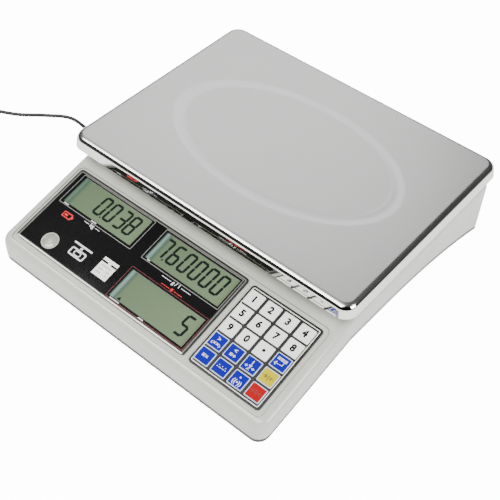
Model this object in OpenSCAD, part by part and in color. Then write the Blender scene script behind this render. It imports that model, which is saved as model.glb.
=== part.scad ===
/* [Body] */
// Width of the housing across its rim
body_w = 312; // [300:1:320]
// Depth of the housing, front rim to rear rim
body_d = 341; // [335:1:350]
// Height of the flat deck under the platter
deck_z = 78; // [76:1:80]
// Wall thickness of the housing
wall = 2.8; // [2:0.2:3.2]
// Tilt of the operating panel
panel_tilt = 14; // [13:0.5:15]

/* [Platter] */
// Width of the weighing platter
platter_w = 322; // [316:1:330]
// Depth of the weighing platter
platter_d = 240; // [234:1:244]
// Height of the platter's top face
platter_top = 105; // [104:0.5:108]
// Thickness of the stainless sheet
sheet = 1.2; // [0.8:0.1:1.4]
// Outer radius of the rolled edge
edge_r = 8; // [7:0.5:9]
// Straight height of the skirt under the rolled edge
skirt = 5; // [4:0.5:6]
// Plan radius of the platter's corners
platter_corner = 13; // [12:0.5:15]

/* [Keys] */
// Width of one key cap
key_w = 15; // [14:0.1:15.2]
// Length of one key cap
key_l = 14; // [13:0.1:14.2]
// Spacing of the key columns
key_pitch_x = 18.1; // [18:0.1:18.2]
// Spacing of the key rows
key_pitch_y = 16.1; // [16:0.1:16.2]

/* [Feet and lead] */
// Radius of a levelling foot
foot_r = 14; // [11:1:15]
// Diameter of the low-voltage lead
lead_d = 4; // [3.5:0.5:4]

/* [Hidden] */
platter_y = 48.5;                  // centre of the platter, behind the housing's centre

// operating panel: local x across, y up the slope, z out of the panel
panel_y = -159;
panel_z = 50;
panel_side = [-148, 147.5];
panel_end = [-5.5, 91];
recess = 0.8;

display_x = [-144.3, 61.5];
display_l = [-0.6, 88];
lens_x = [-140.6, 58.4];
lens_l = [2, 85.2];
// size of a display glass and the centres of the three
lcd_size = [91, 36.6];
lcd_z = [-3.8, -recess - 0.05];
weight_at = [-92, 67.5];
unit_at = [12.5, 67];
count_at = [12.5, 20.5];
level_at = [-112.5, 13];
level_r = 8.6;

keypad_x = [67, 142.6];
keypad_l = [-0.8, 86.6];
key_first = [77, 75];              // centre of the key at the rear left
key_travel = 0.5;
key_gap = 0.25;

foot_at = [[-112, -125], [112, -125], [-112, 130], [112, 130]];
foot_top = 12.5;
stud_r = 4;
floor_z = 13;
floor_t = 3;
plate_t = 3;
plate_top = floor_z + floor_t + plate_t;
stop_at = [[-112, -11.5], [112, -11.5], [-112, 108.5], [112, 108.5]];
screw_at = [[-124, -60], [124, -60], [-124, 80], [124, 80]];
board_at = [[-62, -52], [62, -52], [-62, 20], [62, 20]];

cell = [130, 30, 22];
cell_z = 26;
cell_bolt_x = [39, 58];
arm_z = 88;
arm_t = 10;
arm_x = 112;
arm_reach = 86;
pad_at = [[-112, -30], [112, -30], [-112, 127], [112, 127]];

battery = [101, 70, 47];
battery_y = 103;
hatch = [112, 80];

jack_y = 20;
jack_z = 38;
switch_z = 42.5;
side_in = 146;                     // outer face of the tray's side wall

// the lead, from the plug's sleeve to the coil
lead_r = lead_d / 2;
route = [[-188, 20, 38], [-196, 20, 38], [-204, 20, 36], [-211, 20, 32], [-217, 20, 26],
         [-223, 20, 19], [-229, 20, 12], [-236, 20, 6], [-244, 20, 3], [-253, 21, 2],
         [-263, 22, 2], [-273, 21, 2], [-283, 16, 2], [-292, 9, 2], [-301, 2, 2],
         [-310, -6, 2], [-319, -13, 2], [-329, -19, 2], [-339, -24, 2], [-350, -28, 2],
         [-360, -30, 2], [-370, -30, 2]];
coil_at = [-370, -62];
coil_r = [14, 34];
coil_h = 8;
adaptor_at = [-401, -132];
adaptor = [46, 72, 32];

function mid(r) = (r[0] + r[1]) / 2;
function span(r) = r[1] - r[0];
// height of the rim behind the middle of the side
function rim_z(y) = 45 - 0.05 * (y - 10) - 0.00096 * pow(y - 10, 2);

module on_panel() {
    translate([0, panel_y, panel_z]) rotate([panel_tilt, 0, 0]) children();
}
module slab(x, l, z) {
    translate([x[0], l[0], z[0]]) cube([span(x), span(l), span(z)]);
}
module rounded_slab(x, l, z, r) {
    translate([mid(x), mid(l), z[0]]) linear_extrude(span(z))
        offset(r, $fn = 24) square([span(x) - 2 * r, span(l) - 2 * r], center = true);
}
module along_x(x) {
    translate([x[0], 0, 0]) rotate([90, 0, 90]) linear_extrude(span(x)) children();
}
module at_each(places) {
    for (p = places) translate([p[0], p[1], 0]) children();
}
module rod(z, r) {
    translate([0, 0, z[0]]) cylinder(h = span(z), r = r, $fn = 48);
}

// ---- housing ----
module housing_side(t, low) {
    front = -body_d / 2 + t;
    rear = body_d / 2 - t;
    slope_top = panel_y + (deck_z - panel_z) / tan(panel_tilt);
    polygon(concat(
        [[front, panel_z + (front - panel_y) * tan(panel_tilt) - t / cos(panel_tilt)],
         [slope_top + t * tan(panel_tilt / 2), deck_z - t], [rear - 2, deck_z - t]],
        low ? [[rear, -1], [front, -1]]
            : concat([for (y = [body_d / 2 : -20 : 10]) [y - t, rim_z(y)]],
                     [[-51.5, 47.5], [-156, 26], [front, 23.5]])));
}
module housing_block(t, low) {
    intersection() {
        along_x([-body_w / 2 + t, body_w / 2 - t]) housing_side(t, low);
        translate([0, 0, -2]) linear_extrude(deck_z + 3) hull()
            for (sx = [-1, 1], end = [[-1, 11], [1, 7]])
                translate([sx * (body_w / 2 - t - end[1]), end[0] * (body_d / 2 - t - end[1])])
                    circle(end[1], $fn = 48);
    }
}
module upper_housing() color([0.80, 0.81, 0.79]) {
    difference() {
        union() {
            difference() {
                housing_block(0, false);
                housing_block(wall, true);
            }
            at_each(screw_at) rod([26, deck_z - wall], 5);
            on_panel() {
                for (x = [-130, -40, 50]) translate([x, 44, 0]) rod([-7.4, -wall], 2.5);
                for (l = [-0.5, 87.5]) translate([104, l, 0]) rod([-5, -wall], 1.8);
            }
            translate([49, platter_y, deck_z]) linear_extrude(4)
                square([54, 50], center = true);
        }
        on_panel() {
            rounded_slab(panel_side, panel_end, [-recess, 3], 6);
            for (at = [weight_at, unit_at, count_at]) translate([at[0], at[1], 0])
                cube([lcd_size[0] + 1, lcd_size[1] + 1, 12], center = true);
            translate([level_at[0], level_at[1], 0]) rod([-5, 1], level_r + 0.2);
            slab([68.6, 141], [1.4, 84.4], [-5, 0]);
        }
        at_each(screw_at) rod([20, 42], 2.05);
        at_each(stop_at) rod([deck_z - 5, deck_z + 1], 8);
        translate([49, platter_y, deck_z]) cube([48, 44, 12], center = true);
    }
}

// ---- tray and chassis ----
module tray_block(t, top) {
    intersection() {
        translate([0, 200, 0]) rotate([90, 0, 0]) linear_extrude(400)
            polygon([[-134 + t, floor_z + t], [134 - t, floor_z + t], [side_in - t, 31],
                     [side_in - t, top], [-side_in + t, top], [-side_in + t, 31]]);
        along_x([-160, 160])
            polygon([[-149 + t, floor_z + t], [149 - t, floor_z + t], [158 - t, 31],
                     [158 - t, top], [-60, top], [-160 + t, top - 18], [-160 + t, 31]]);
        rounded_slab([-side_in + t, side_in - t], [-160 + t, 158 - t], [0, 90], 10);
    }
}
module base_tray() color([0.74, 0.75, 0.73]) {
    difference() {
        union() {
            difference() {
                tray_block(0, 58);
                tray_block(floor_t, 80);
            }
            difference() {
                slab([-152.3, 152.3], [-58, 157.5], [54, 57]);
                slab([-144, 144], [-70, 156], [50, 60]);
            }
            at_each(screw_at) rod([floor_z + 1, 26], 5);
        }
        at_each(screw_at) {
            rod([floor_z - 1, 17], 4);
            rod([16, 27], 2.2);
        }
        at_each(foot_at) rod([floor_z - 1, 20], stud_r + 1);
        for (x = cell_bolt_x) translate([-x, platter_y, 0]) rod([floor_z - 1, 20], 6);
        translate([0, battery_y, floor_z]) cube([hatch[0] + 0.6, hatch[1] + 0.6, 12], center = true);
        translate([side_in, 0, switch_z]) cube([12, 19.2, 12.8], center = true);
        translate([-side_in - 3, jack_y, jack_z]) rotate([0, 90, 0]) rod([0, 9], 5.2);
    }
}
module chassis_plate() color([0.62, 0.63, 0.65]) {
    difference() {
        union() {
            rounded_slab([-128, 128], [-144, 146], [floor_z + floor_t, plate_top], 10);
            at_each(foot_at) rod([plate_top - 1, 28], 8);
            at_each(board_at) rod([plate_top - 1, 30], 3);
        }
        at_each(screw_at) rod([10, 40], 7);
        at_each(foot_at) rod([10, 40], stud_r + 0.05);
        for (x = cell_bolt_x) translate([-x, platter_y, 0]) rod([10, 40], 3.05);
        translate([0, battery_y, plate_top]) cube([116, 74, 12], center = true);
    }
}
module housing_screws() color([0.55, 0.56, 0.58])
    at_each(screw_at) {
        difference() {
            rod([14, 17], 3.6);
            translate([0, 0, 14]) cube([4.4, 1, 2.4], center = true);
            translate([0, 0, 14]) cube([1, 4.4, 2.4], center = true);
        }
        rod([17, 40], 2);
    }
module levelling_foot(i) color([0.13, 0.13, 0.14])
    translate([foot_at[i][0], foot_at[i][1], 0]) rotate_extrude($fn = 64)
        polygon([[0, 0], [foot_r - 1, 0], [foot_r, 1], [foot_r, 4], [foot_r - 1.5, 5],
                 [foot_r - 3, 9], [8, foot_top], [stud_r, foot_top], [stud_r, 43],
                 [stud_r - 1, 44], [0, 44]]);

// ---- load cell and weighing platform ----
module load_cell() color([0.78, 0.79, 0.80])
    translate([0, platter_y, cell_z]) difference() {
        translate([-cell[0] / 2, -cell[1] / 2, 0]) cube(cell);
        for (x = [-9, 9]) translate([x, -20, cell[2] / 2]) rotate([-90, 0, 0]) rod([0, 40], 7.5);
        translate([0, 0, cell[2] / 2]) cube([18, 40, 5], center = true);
        for (x = cell_bolt_x) {
            translate([-x, 0, 0]) rod([-1, 14], 3.05);
            translate([x, 0, 0]) rod([8, 24], 3.05);
        }
    }
module cell_spacer(x, z) difference() {
    translate([mid(x), platter_y, mid(z)]) cube([span(x), 30, span(z)], center = true);
    for (b = cell_bolt_x) translate([sign(mid(x)) * b, platter_y, 0])
        rod([z[0] - 1, z[1] + 1], 3.1);
}
module cell_spacer_lower() color([0.70, 0.71, 0.73]) cell_spacer([-65, -32], [plate_top, cell_z]);
module cell_spacer_upper() color([0.70, 0.71, 0.73]) cell_spacer([32, 65], [48, 54]);
module socket_bolt(head, tip, head_h) {
    difference() {
        rod([min(head, head + head_h), max(head, head + head_h)], 5);
        translate([0, 0, head + head_h]) cylinder(h = 3, r = 2.9, center = true, $fn = 6);
    }
    rod([min(head, tip), max(head, tip)], 3);
}
module cell_bolts_lower() color([0.30, 0.30, 0.32])
    for (x = cell_bolt_x) translate([-x, platter_y, 0]) socket_bolt(floor_z + floor_t, 38, -2.8);
module cell_bolts_upper() color([0.30, 0.30, 0.32])
    for (x = cell_bolt_x) translate([x, platter_y, 0]) socket_bolt(62, 36, 6);
module spider() color([0.66, 0.67, 0.69]) {
    difference() {
        union() {
            translate([0, platter_y, arm_z + arm_t / 2]) cube([2 * arm_x, 34, arm_t], center = true);
            for (x = [-arm_x, arm_x]) translate([x, platter_y, arm_z + arm_t / 2]) {
                cube([18, 2 * arm_reach, arm_t], center = true);
                for (y = [-arm_reach, arm_reach]) translate([0, y, -arm_t / 2]) rod([0, arm_t], 9);
            }
            translate([49, platter_y, (54 + arm_z) / 2]) cube([38, 34, arm_z - 54], center = true);
        }
        for (x = cell_bolt_x) translate([x, platter_y, 0]) {
            rod([50, 70], 3.1);
            rod([62, 120], 6);
        }
        at_each(pad_at) rod([80, 120], 4);
    }
}
module spider_pads() color([0.12, 0.12, 0.13])
    at_each(pad_at) {
        rod([arm_z, arm_z + arm_t], 4);
        rod([arm_z + arm_t, platter_top - sheet - 0.1], 9);
    }
module overload_stops() color([0.55, 0.56, 0.58])
    at_each(stop_at) {
        translate([0, 0, plate_top]) cylinder(h = 58, r = 5.8, $fn = 6);
        rod([plate_top + 58, arm_z - 0.7], 3);
    }

// ---- platter ----
module edge_profile() {
    intersection() {
        difference() {
            circle(edge_r, $fn = 96);
            circle(edge_r - sheet, $fn = 96);
        }
        square(edge_r + 1);
    }
    translate([edge_r - sheet, -skirt]) square([sheet, skirt]);
}
module platter() color([0.76, 0.76, 0.76])
    translate([0, platter_y, platter_top - edge_r]) {
        flat_x = platter_w / 2 - platter_corner;
        flat_y = platter_d / 2 - platter_corner;
        hem = platter_corner - edge_r;
        translate([-flat_x - hem, -flat_y, edge_r - sheet]) cube([2 * (flat_x + hem), 2 * flat_y, sheet]);
        translate([-flat_x, -flat_y - hem, edge_r - sheet]) cube([2 * flat_x, 2 * (flat_y + hem), sheet]);
        for (q = [[1, 1, 0], [-1, 1, 90], [-1, -1, 180], [1, -1, 270]])
            translate([q[0] * flat_x, q[1] * flat_y, 0]) rotate([0, 0, q[2]]) {
                rotate_extrude(angle = 90, $fn = 96) translate([hem, 0]) edge_profile();
                translate([0, 0, edge_r - sheet]) rotate_extrude(angle = 90, $fn = 96) square([hem, sheet]);
            }
        for (s = [0, 180]) rotate([0, 0, s]) {
            translate([flat_x + hem, flat_y, 0]) rotate([90, 0, 0])
                linear_extrude(2 * flat_y) edge_profile();
            translate([-flat_x, flat_y + hem, 0]) rotate([90, 0, 90])
                linear_extrude(2 * flat_x) edge_profile();
        }
    }

// ---- displays and level ----
module display_bezel() color([0.10, 0.10, 0.11])
    on_panel() difference() {
        rounded_slab(display_x, display_l, [-recess, 1.4], 3);
        slab(lens_x, lens_l, [-2, 3]);
    }
module display_lens() color([0.06, 0.06, 0.07])
    on_panel() difference() {
        slab([lens_x[0] + 0.1, lens_x[1] - 0.1], [lens_l[0] + 0.1, lens_l[1] - 0.1], [-recess, 0.6]);
        translate([level_at[0], level_at[1], 0]) rod([-3, 3], level_r - 0.7);
    }
module lcd(at) color([0.50, 0.56, 0.46])
    on_panel() translate([at[0], at[1], (lcd_z[0] + lcd_z[1]) / 2])
        cube([lcd_size[0], lcd_size[1], span(lcd_z)], center = true);
module lcd_weight() lcd(weight_at);
module lcd_unit_weight() lcd(unit_at);
module lcd_quantity() lcd(count_at);
module display_board() color([0.10, 0.35, 0.18])
    on_panel() difference() {
        union() {
            slab([-138, 58], [1, 86], [-9, -7.4]);
            for (at = [weight_at, unit_at, count_at]) translate([at[0], at[1], 0])
                slab([-44, 44], [-17, 17], [-7.4, lcd_z[0]]);
            slab([-70, -30], [20, 26], [-14, -9]);
        }
        translate([level_at[0], level_at[1], 0]) rod([-10, 3], level_r + 1);
    }
module level_cup() color([0.66, 0.67, 0.67])
    on_panel() translate([level_at[0], level_at[1], 0]) difference() {
        union() {
            rod([-7.5, 0.7], level_r - 0.9);
            rod([0.6, 1.2], level_r);
        }
        rod([-5.5, 3], level_r - 1.9);
    }
module level_vial() color([0.75, 0.82, 0.72])
    on_panel() translate([level_at[0], level_at[1], 0]) rod([-5.5, 0.9], level_r - 1.9);

// ---- keypad ----
function key_at(i) = [key_first[0] + (i % 4) * key_pitch_x, key_first[1] - floor(i / 4) * key_pitch_y];
module keypad_frame() color([0.05, 0.05, 0.05])
    on_panel() difference() {
        rounded_slab(keypad_x, keypad_l, [-recess, 0.8], 3);
        for (i = [0:19]) translate([key_at(i)[0], key_at(i)[1], 0])
            cube([key_w + 2 * key_gap, key_l + 2 * key_gap, 6], center = true);
    }
module key_cap(i, shade) color(shade)
    on_panel() translate([key_at(i)[0], key_at(i)[1], 0]) {
        translate([-key_w / 2, -key_l / 2, -1.7]) cube([key_w, key_l, 2.9]);
        translate([-key_w / 2 - 0.5, -key_l / 2 - 0.4, -1.7]) cube([key_w + 1, key_l + 0.8, 0.6]);
    }
module keypad_mat() color([0.30, 0.30, 0.32])
    on_panel() {
        slab([69.2, 140.4], [2, 83.8], [-5, -3.2]);
        for (i = [0:19]) translate([key_at(i)[0], key_at(i)[1], 0]) rod([-3.2, -2.4], 3.5);
    }
module keypad_board() color([0.10, 0.35, 0.18])
    on_panel() slab([66, 143], [-2, 88], [-6.6, -5]);

// ---- inside ----
module main_board() color([0.10, 0.35, 0.18]) {
    difference() {
        slab([-70, 70], [-60, 28], [30, 31.6]);
        at_each(board_at) rod([29, 33], 1.6);
    }
    slab([-20, 6], [-36, -10], [31.6, 34]);
    slab([-56, -34], [-50, -42], [31.6, 40]);
    slab([30, 52], [-50, -42], [31.6, 40]);
    slab([36, 50], [-20, 6], [31.6, 44]);
    for (x = [-46, -34]) translate([x, 8, 0]) rod([31.6, 46], 5);
}
module battery() color([0.18, 0.18, 0.20]) {
    translate([-battery[0] / 2, battery_y - battery[1] / 2, floor_z + floor_t])
        cube([battery[0], battery[1], battery[2] - 1]);
    for (x = [-40, 40]) translate([x, battery_y - 24, 0])
        slab([-3, 3], [-0.4, 0.4], [floor_z + floor_t + battery[2] - 2, floor_z + battery[2] + 9]);
}
module battery_door() color([0.74, 0.75, 0.73])
    translate([0, battery_y, floor_z]) difference() {
        translate([-hatch[0] / 2, -hatch[1] / 2, 0]) cube([hatch[0], hatch[1], floor_t]);
        for (x = [-20:10:20]) translate([x, 0, 0]) cube([2, 40, 1.6], center = true);
    }
module switch_body() color([0.07, 0.07, 0.08])
    translate([side_in, 0, switch_z]) difference() {
        union() {
            translate([-20, -9.5, -6.3]) cube([20, 19, 12.6]);
            translate([0, -10.5, -7.5]) cube([2, 21, 15]);
            for (y = [-5, 5]) translate([-27, y - 2.4, -0.4]) cube([8, 4.8, 0.8]);
        }
        translate([-8, -8.6, -5.3]) cube([12, 17.2, 10.6]);
        translate([1, 0, 0]) rod([-6, 6], 1.25);
    }
module switch_rocker() color([0.16, 0.16, 0.17])
    translate([side_in + 1, 0, switch_z]) {
        translate([0, 0, -5]) linear_extrude(10)
            polygon([[-6, -4], [-6, 4], [-2, 7.4], [1.7, 7.4], [1.7, 0], [3.6, -7.4], [-2, -7.4]]);
        rod([-5.9, 5.9], 1.2);
    }
module dc_jack() color([0.06, 0.06, 0.07])
    translate([-side_in, jack_y, jack_z]) difference() {
        union() {
            translate([floor_t + 0.1, -4.5, -5.5]) cube([14, 9, 11]);
            rotate([0, 90, 0]) rod([0, floor_t + 1], 5.1);
        }
        rotate([0, 90, 0]) rod([-1, 10.5], 2.8);
    }

// ---- lead and mains adaptor ----
module barrel_plug() color([0.06, 0.06, 0.07])
    translate([-side_in, jack_y, jack_z]) rotate([0, -90, 0]) rotate_extrude($fn = 48)
        polygon([[0, -9.5], [2.75, -9.5], [2.75, 0], [5, 0], [5.4, 1], [5.4, 18], [4.6, 21],
                 [3.6, 22], [lead_r + 0.5, 42], [0, 42]]);
function unit(v) = v / norm(v);
function heading(p, i) = unit(p[min(i + 1, len(p) - 1)] - p[max(i - 1, 0)]);
function ring(p, i, r, n) = let (t = heading(p, i), s = unit(cross(t, [0, 0, 1])), u = cross(s, t))
    [for (k = [0 : n - 1]) p[i] + r * (cos(360 * k / n) * s + sin(360 * k / n) * u)];
module tube(p, r, n) {
    last = len(p) - 1;
    polyhedron(
        points = [for (i = [0 : last]) each ring(p, i, r, n)],
        faces = concat(
            [[for (k = [0 : n - 1]) k], [for (k = [n - 1 : -1 : 0]) last * n + k]],
            [for (i = [0 : last - 1], k = [0 : n - 1])
                [i * n + k, (i + 1) * n + k, (i + 1) * n + (k + 1) % n, i * n + (k + 1) % n]]));
}
module power_lead() color([0.05, 0.05, 0.05]) tube(route, lead_r, 10);
module lead_coil() color([0.05, 0.05, 0.05])
    translate([coil_at[0], coil_at[1], 0]) rotate_extrude($fn = 64)
        translate([coil_r[0], 0]) square([span(coil_r), coil_h]);
module adaptor_case() color([0.07, 0.07, 0.08]) {
    translate([adaptor_at[0], adaptor_at[1], 0]) {
        rounded_slab([-adaptor[0] / 2, adaptor[0] / 2], [-adaptor[1] / 2, adaptor[1] / 2],
            [0, adaptor[2]], 5);
        translate([0, -10, 0]) rod([adaptor[2] - 1, adaptor[2] + 3], 15);
    }
    translate([adaptor_at[0], adaptor_at[1] + adaptor[1] / 2, 6]) rotate([-90, 0, 0])
        cylinder(h = 26, r1 = 4.4, r2 = lead_r + 0.6, $fn = 48);
}
module adaptor_pins() color([0.75, 0.75, 0.76])
    for (x = [-9.3, 9.3]) translate([adaptor_at[0] + x, adaptor_at[1] - 10, 0])
        rod([adaptor[2] - 4, adaptor[2] + 21], 2);

WHITE = [0.93, 0.93, 0.92];
BLUE = [0.10, 0.22, 0.72];

base_tray();
upper_housing();
housing_screws();
chassis_plate();
cell_spacer_lower();
load_cell();
cell_bolts_lower();
overload_stops();
display_bezel();
display_lens();
lcd_weight();
lcd_unit_weight();
lcd_quantity();
display_board();
level_cup();
level_vial();
keypad_frame();
keypad_mat();
keypad_board();
main_board();
battery();
battery_door();
switch_body();
dc_jack();
spider();
spider_pads();
cell_spacer_upper();
cell_bolts_upper();
platter();
switch_rocker();
levelling_foot(0);  // foot_front_left
levelling_foot(1);  // foot_front_right
levelling_foot(2);  // foot_rear_left
levelling_foot(3);  // foot_rear_right
key_cap(0, WHITE);  // key_1
key_cap(1, WHITE);  // key_2
key_cap(2, WHITE);  // key_3
key_cap(3, WHITE);  // key_4
key_cap(4, WHITE);  // key_5
key_cap(5, WHITE);  // key_6
key_cap(6, WHITE);  // key_7
key_cap(7, WHITE);  // key_8
key_cap(8, WHITE);  // key_9
key_cap(9, WHITE);  // key_0
key_cap(10, WHITE);  // key_point
key_cap(11, BLUE);  // key_enter
key_cap(12, BLUE);  // key_clear
key_cap(13, BLUE);  // key_memory_add
key_cap(14, BLUE);  // key_unit_weight
key_cap(15, [0.95, 0.90, 0.08]);  // key_tare
key_cap(16, BLUE);  // key_memory_clear
key_cap(17, BLUE);  // key_sample
key_cap(18, BLUE);  // key_alarm
key_cap(19, [0.88, 0.10, 0.14]);  // key_zero
barrel_plug();
power_lead();
lead_coil();
adaptor_case();
adaptor_pins();
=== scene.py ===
import math
import bpy
import bmesh
from mathutils import Matrix, Quaternion, Vector


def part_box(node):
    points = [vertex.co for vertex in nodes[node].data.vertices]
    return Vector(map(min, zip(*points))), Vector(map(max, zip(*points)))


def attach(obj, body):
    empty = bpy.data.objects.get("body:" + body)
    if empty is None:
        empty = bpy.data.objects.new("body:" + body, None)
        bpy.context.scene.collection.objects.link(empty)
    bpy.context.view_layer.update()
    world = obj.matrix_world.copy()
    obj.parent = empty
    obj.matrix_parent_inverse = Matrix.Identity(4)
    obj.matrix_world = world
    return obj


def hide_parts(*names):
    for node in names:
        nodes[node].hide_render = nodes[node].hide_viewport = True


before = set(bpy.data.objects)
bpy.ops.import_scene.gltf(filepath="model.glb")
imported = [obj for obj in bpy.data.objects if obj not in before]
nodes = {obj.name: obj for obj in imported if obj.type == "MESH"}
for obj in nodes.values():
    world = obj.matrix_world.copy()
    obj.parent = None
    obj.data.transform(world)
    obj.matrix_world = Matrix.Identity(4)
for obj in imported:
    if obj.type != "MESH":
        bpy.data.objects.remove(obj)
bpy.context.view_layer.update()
mm = 0.001
print("frame loaded:", len(nodes), "nodes")


# the camera stands where the viewer does: turn, height and roll are in degrees

view = {
    "turn": 37.49,
    "height": 47.88,
    "roll": 3.24,
    "lens": 69.2,
    "place": (0.3849, -0.4978, 0.6996),
}


def addCamera():
    bpy.ops.object.camera_add(location=view["place"])
    camera = bpy.context.object
    camera.data.lens = view["lens"]
    camera.data.sensor_width = 36
    tilt = Quaternion((1, 0, 0), math.radians(90 - view["height"]))
    turn = Quaternion((0, 0, 1), math.radians(view["turn"]))
    roll = Quaternion((0, 0, 1), math.radians(view["roll"]))
    camera.rotation_mode = "QUATERNION"
    camera.rotation_quaternion = turn @ tilt @ roll
    bpy.context.scene.camera = camera


addCamera()


# the low-voltage lead: its route matches the CAD solids, and the rest of it is one neat coil, in mm

lead = {
    "diameter": 4.0,
    "coilAt": (-370, -62),
    "inner": 16,
    "outer": 32,
    "turnsPerLayer": 4,
    "pointsPerTurn": 16,
    "lastAngle": 195,
}
route = [(-188, 20, 38), (-196, 20, 38), (-204, 20, 36), (-211, 20, 32), (-217, 20, 26),
         (-223, 20, 19), (-229, 20, 12), (-236, 20, 6), (-244, 20, 3), (-253, 21, 2),
         (-263, 22, 2), (-273, 21, 2), (-283, 16, 2), (-292, 9, 2), (-301, 2, 2),
         (-310, -6, 2), (-319, -13, 2), (-329, -19, 2), (-339, -24, 2), (-350, -28, 2),
         (-360, -30, 2), (-370, -30, 2)]


def coilPoints():
    # inward along the floor layer, up one diameter, and outward again on top of it
    points = []
    perTurn = lead["pointsPerTurn"]
    count = lead["turnsPerLayer"] * perTurn
    spare = round((lead["lastAngle"] - 90) / 360 * perTurn)
    for i in range(1, 2 * count + spare + 1):
        angle = math.radians(90 + 360 * i / perTurn)
        way = min(i, count) / count if i <= count else 1 - min(i - count, count) / count
        radius = lead["outer"] - (lead["outer"] - lead["inner"]) * way
        lift = min(max((i - count + 4) / 8, 0), 1)
        points.append((lead["coilAt"][0] + radius * math.cos(angle),
                       lead["coilAt"][1] + radius * math.sin(angle),
                       2 + 4 * lift))
    return points


def dropSelection():
    if bpy.context.object and bpy.context.object.mode != "OBJECT":
        bpy.ops.object.mode_set(mode="OBJECT")
    bpy.ops.object.select_all(action="DESELECT")


def addLead():
    points = route + coilPoints()
    dropSelection()
    bpy.ops.curve.primitive_nurbs_path_add()
    piece = bpy.context.object
    piece.name = "powerLead"
    curve = piece.data
    curve.splines.clear()
    spline = curve.splines.new("BEZIER")
    spline.bezier_points.add(len(points) - 1)
    for handle, p in zip(spline.bezier_points, points):
        handle.co = Vector(p) * mm
        handle.handle_left_type = handle.handle_right_type = "AUTO"
        handle.radius = lead["diameter"] / 2 * mm
    curve.dimensions = "3D"
    curve.resolution_u = 3
    curve.bevel_depth = 1  # times each point's radius
    curve.bevel_resolution = 3
    curve.use_fill_caps = True
    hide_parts("power_lead", "lead_coil")
    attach(piece, "base")
    return piece


leadPiece = addLead()
print("camera and lead placed")


# colours, and the surface effects that the finishes share

def rgb(red, green, blue):
    # screen colour 0 to 255 into the linear colour that shaders take
    def linear(v):
        v = v / 255
        return v / 12.92 if v <= 0.04045 else ((v + 0.055) / 1.055) ** 2.4
    return (linear(red), linear(green), linear(blue), 1)


def newGroup(name, inputs, outputs):
    group = bpy.data.node_groups.new(name, "ShaderNodeTree")
    for label, value in inputs:
        socket = group.interface.new_socket(name=label, in_out="INPUT", socket_type="NodeSocketFloat")
        socket.default_value = value
    for label in outputs:
        group.interface.new_socket(name=label, in_out="OUTPUT", socket_type="NodeSocketFloat")
    return group, group.nodes.new("NodeGroupInput"), group.nodes.new("NodeGroupOutput")


def addMath(tree, operation, first, second):
    node = tree.nodes.new("ShaderNodeMath")
    node.operation = operation
    for socket, value in zip(node.inputs, (first, second)):
        if isinstance(value, (int, float)):
            socket.default_value = value
        else:
            tree.links.new(value, socket)
    return node.outputs[0]


def addNoise(tree, vector, scale, detail):
    node = tree.nodes.new("ShaderNodeTexNoise")
    node.inputs["Detail"].default_value = detail
    tree.links.new(vector, node.inputs["Vector"])
    if isinstance(scale, (int, float)):
        node.inputs["Scale"].default_value = scale
    else:
        tree.links.new(scale, node.inputs["Scale"])
    return node.outputs[0]


def addRange(tree, value, start, end, first=0.0, last=1.0, kind="LINEAR"):
    # the value's way from start to end, turned into the way from first to last
    node = tree.nodes.new("ShaderNodeMapRange")
    node.interpolation_type = kind
    for label, number in (("From Min", start), ("From Max", end), ("To Min", first), ("To Max", last)):
        node.inputs[label].default_value = number
    tree.links.new(value, node.inputs["Value"])
    return node.outputs["Result"]


def splitPlace(tree, place):
    split = tree.nodes.new("ShaderNodeSeparateXYZ")
    tree.links.new(place, split.inputs["Vector"])
    return split.outputs


def makeGrainGroup():
    # fine moulded or rolled grain with slow blotches: roughness, height and tone all vary
    group, given, result = newGroup(
        "surfaceGrain",
        [("Scale", 900.0), ("Roughness", 0.4), ("Spread", 0.1)],
        ["Roughness", "Height", "Tone"])
    place = group.nodes.new("ShaderNodeTexCoord").outputs["Object"]
    fine = addNoise(group, place, given.outputs["Scale"], 3)
    slow = addNoise(group, place, addMath(group, "MULTIPLY", given.outputs["Scale"], 0.03), 4)
    drift = addMath(group, "MULTIPLY", addMath(group, "SUBTRACT", slow, 0.5), given.outputs["Spread"])
    group.links.new(addMath(group, "ADD", given.outputs["Roughness"], drift), result.inputs["Roughness"])
    group.links.new(fine, result.inputs["Height"])
    group.links.new(addMath(group, "ADD", addMath(group, "MULTIPLY", slow, 0.75),
                            addMath(group, "MULTIPLY", fine, 0.25)), result.inputs["Tone"])
    return group


grainGroup = makeGrainGroup()


def startMaterial(name, scale, roughness, spread):
    material = bpy.data.materials.new(name)
    material.use_nodes = True
    tree = material.node_tree
    shader = tree.nodes["Principled BSDF"]
    grain = tree.nodes.new("ShaderNodeGroup")
    grain.node_tree = grainGroup
    grain.inputs["Scale"].default_value = scale
    grain.inputs["Roughness"].default_value = roughness
    grain.inputs["Spread"].default_value = spread
    tree.links.new(grain.outputs["Roughness"], shader.inputs["Roughness"])
    return material, tree, shader, grain


def addTone(tree, factor, low, high):
    ramp = tree.nodes.new("ShaderNodeValToRGB")
    ramp.color_ramp.elements[0].position = 0.3
    ramp.color_ramp.elements[0].color = low
    ramp.color_ramp.elements[1].position = 0.7
    ramp.color_ramp.elements[1].color = high
    tree.links.new(factor, ramp.inputs["Fac"])
    return ramp.outputs["Color"]


def addBump(tree, height, shader, strength, distance):
    bump = tree.nodes.new("ShaderNodeBump")
    bump.inputs["Strength"].default_value = strength
    bump.inputs["Distance"].default_value = distance
    tree.links.new(height, bump.inputs["Height"])
    tree.links.new(bump.outputs["Normal"], shader.inputs["Normal"])


def shade(colour, change):
    return tuple(min(max(c * change, 0), 1) for c in colour[:3]) + (1,)


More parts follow.
